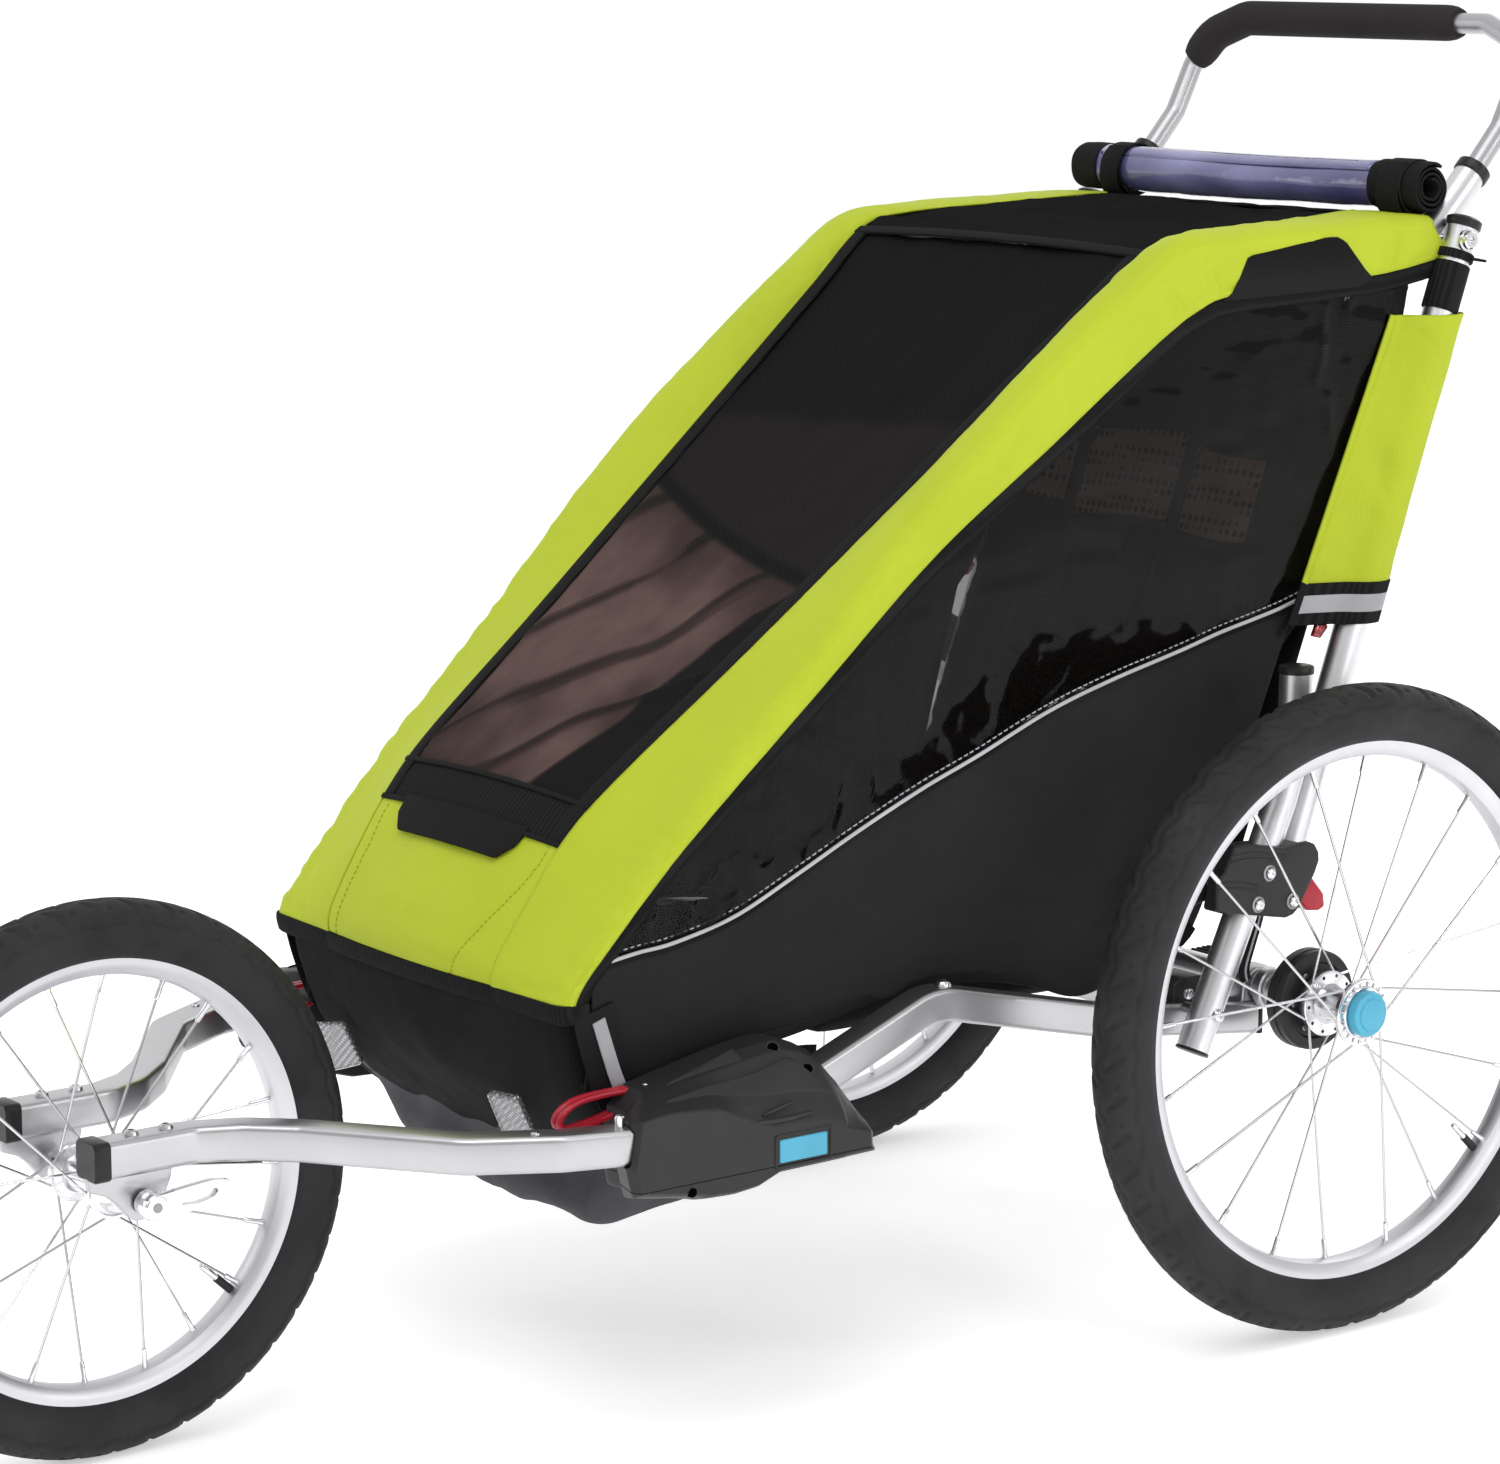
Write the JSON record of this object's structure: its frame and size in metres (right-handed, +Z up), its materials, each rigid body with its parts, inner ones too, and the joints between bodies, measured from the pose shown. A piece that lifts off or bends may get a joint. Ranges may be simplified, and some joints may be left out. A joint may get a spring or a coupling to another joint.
{
  "type": "child bicycle trailer",
  "caption": "Enclosed child trailer on two rear wheels and a front jogging wheel, with a fabric cabin, folding tube frame and push handlebar.",
  "frame": {"origin": "middle of the footprint, on the ground", "axes": "+Z up, -Y forward along the direction of travel, +X to the trailer's left"},
  "size_m": [0.6912, 1.424, 0.996],
  "materials": {
    "silver_tube": "satin anodised",
    "rim_silver": "satin with bright spokes",
    "polished": "polished",
    "tyre": "matt with a moulded tread",
    "black_plastic": "fine texture",
    "foam": "soft foam",
    "black_fabric": "fine weave",
    "lime_fabric": "coated nylon weave",
    "grey_fabric": "coated weave",
    "window": "glossy tinted film",
    "clear_film": "glossy clear film",
    "mesh_fabric": "fine mesh",
    "blue_plastic": "satin",
    "red_plastic": "satin",
    "reflector": "clear prismatic",
    "reflective_tape": "retro-reflective"
  },
  "bodies": {
    "base": {"side_rail_left": "silver_tube", "side_rail_right": "silver_tube", "axle_tube": "silver_tube", "rear_cross_tube": "silver_tube", "front_cross_tube": "silver_tube", "side_post_left": "silver_tube", "side_post_right": "silver_tube", "hinge_bracket_left": "black_plastic", "hinge_bracket_right": "black_plastic", "housing_upper_left": "black_plastic", "housing_upper_right": "black_plastic", "housing_lower_left": "black_plastic", "housing_lower_right": "black_plastic", "side_panel_left": "black_fabric", "side_panel_right": "black_fabric", "front_panel": "black_fabric", "floor_tub": "grey_fabric", "seat_base": "grey_fabric", "seat_back": "black_fabric", "harness": "black_fabric", "front_reflector_left": "reflector", "front_reflector_right": "reflector"},
    "hoop": {"hoop_tube_left": "silver_tube", "hoop_tube_right": "silver_tube", "hoop_crossbar": "silver_tube", "canopy_cover": "lime_fabric", "window_roll": "clear_film"},
    "mesh_cover": {"front_mesh_cover": "mesh_fabric"},
    "uprights": {"upright_left": "silver_tube", "upright_right": "silver_tube", "upright_crossbar": "silver_tube", "rear_flap_left": "lime_fabric", "rear_flap_right": "lime_fabric", "rear_panel": "black_fabric"},
    "handlebar": {"handlebar": "silver_tube", "handle_grip": "foam"},
    "rear_wheel_left": {"rear_tyre_left": "tyre", "rear_rim_left": "rim_silver", "rear_hub_left": "polished", "brake_disc_left": "black_plastic"},
    "rear_wheel_right": {"rear_tyre_right": "tyre", "rear_rim_right": "rim_silver", "rear_hub_right": "polished", "brake_disc_right": "black_plastic"},
    "hub_cap_left": {"hub_cap_left": "blue_plastic"},
    "hub_cap_right": {"hub_cap_right": "blue_plastic"},
    "jog_kit": {"jog_arm_left": "silver_tube", "jog_arm_right": "silver_tube", "front_skewer": "polished"},
    "front_wheel": {"front_tyre": "tyre", "front_rim": "rim_silver", "front_hub": "polished"},
    "quick_release_lever": {"quick_release_lever": "polished"},
    "frame_latch_left": {"frame_latch_lever_left": "red_plastic"},
    "frame_latch_right": {"frame_latch_lever_right": "red_plastic"},
    "side_button_left": {"side_release_button_left": "blue_plastic"},
    "side_button_right": {"side_release_button_right": "blue_plastic"},
    "loop_lever_left": {"housing_loop_lever_left": "red_plastic"},
    "loop_lever_right": {"housing_loop_lever_right": "red_plastic"},
    "parking_brake": {"parking_brake_bar": "black_plastic"}
  },
  "joints": [
    {"name": "frame_fold", "type": "hinge", "parent": "base", "child": "hoop", "pos_m": [0, -0.19445, 0.275], "axis": [-1, 0, 0], "range_deg": [0, 26], "deforming": ["side_panel_left", "side_panel_right", "seat_back", "harness", "rear_panel", "rear_flap_left", "rear_flap_right"]},
    {"name": "upright_fold", "type": "hinge", "parent": "hoop", "child": "uprights", "pos_m": [0, 0.58555, 0.819], "axis": [-1, 0, 0], "range_deg": [0, 36.4]},
    {"name": "handlebar_slide", "type": "slide", "parent": "hoop", "child": "handlebar", "axis": [0, 0.6682, 0.744], "range_m": [0, 0.03]},
    {"name": "rear_wheel_left_spin", "type": "hinge", "parent": "base", "child": "rear_wheel_left", "pos_m": [0.316, 0.39055, 0.25], "axis": [1, 0, 0], "continuous": true},
    {"name": "rear_wheel_right_spin", "type": "hinge", "parent": "base", "child": "rear_wheel_right", "pos_m": [-0.316, 0.39055, 0.25], "axis": [1, 0, 0], "continuous": true},
    {"name": "hub_cap_left_press", "type": "slide", "parent": "rear_wheel_left", "child": "hub_cap_left", "axis": [1, 0, 0], "range_m": [-0.003, 0], "stiffness_N_per_m": 400},
    {"name": "hub_cap_right_press", "type": "slide", "parent": "rear_wheel_right", "child": "hub_cap_right", "axis": [1, 0, 0], "range_m": [0, 0.003], "stiffness_N_per_m": 400},
    {"name": "jog_kit_slide", "type": "slide", "parent": "base", "child": "jog_kit", "axis": [0, -1, 0], "range_m": [0, 0.05]},
    {"name": "front_wheel_spin", "type": "hinge", "parent": "jog_kit", "child": "front_wheel", "pos_m": [0, -0.51245, 0.1995], "axis": [1, 0, 0], "continuous": true},
    {"name": "quick_release_turn", "type": "hinge", "parent": "jog_kit", "child": "quick_release_lever", "pos_m": [0.084, -0.51245, 0.1995], "axis": [-1, 0, 0], "range_deg": [0, 150]},
    {"name": "frame_latch_left_turn", "type": "hinge", "parent": "base", "child": "frame_latch_left", "pos_m": [0.252, 0.40055, 0.328], "axis": [1, 0, 0], "range_deg": [0, 25]},
    {"name": "frame_latch_right_turn", "type": "hinge", "parent": "base", "child": "frame_latch_right", "pos_m": [-0.252, 0.40055, 0.328], "axis": [1, 0, 0], "range_deg": [0, 25]},
    {"name": "side_button_left_press", "type": "slide", "parent": "base", "child": "side_button_left", "axis": [1, 0, 0], "range_m": [-0.003, 0], "stiffness_N_per_m": 400},
    {"name": "side_button_right_press", "type": "slide", "parent": "base", "child": "side_button_right", "axis": [1, 0, 0], "range_m": [0, 0.003], "stiffness_N_per_m": 400},
    {"name": "loop_lever_left_turn", "type": "hinge", "parent": "base", "child": "loop_lever_left", "pos_m": [0.202, -0.19745, 0.25], "axis": [1, 0, 0], "range_deg": [-25, 0]},
    {"name": "loop_lever_right_turn", "type": "hinge", "parent": "base", "child": "loop_lever_right", "pos_m": [-0.202, -0.19745, 0.25], "axis": [1, 0, 0], "range_deg": [-25, 0]},
    {"name": "parking_brake_turn", "type": "hinge", "parent": "base", "child": "parking_brake", "pos_m": [0, 0.39055, 0.25], "axis": [-1, 0, 0], "range_deg": [0, 18]},
    {"name": "mesh_cover_lift", "type": "hinge", "parent": "hoop", "child": "mesh_cover", "pos_m": [0, 0.26855, 0.801], "axis": [-1, 0, 0], "range_deg": [0, 60]}
  ],
  "couplings": [
    {"joint": "upright_fold", "follows": "frame_fold", "ratio": 1.4}
  ]
}
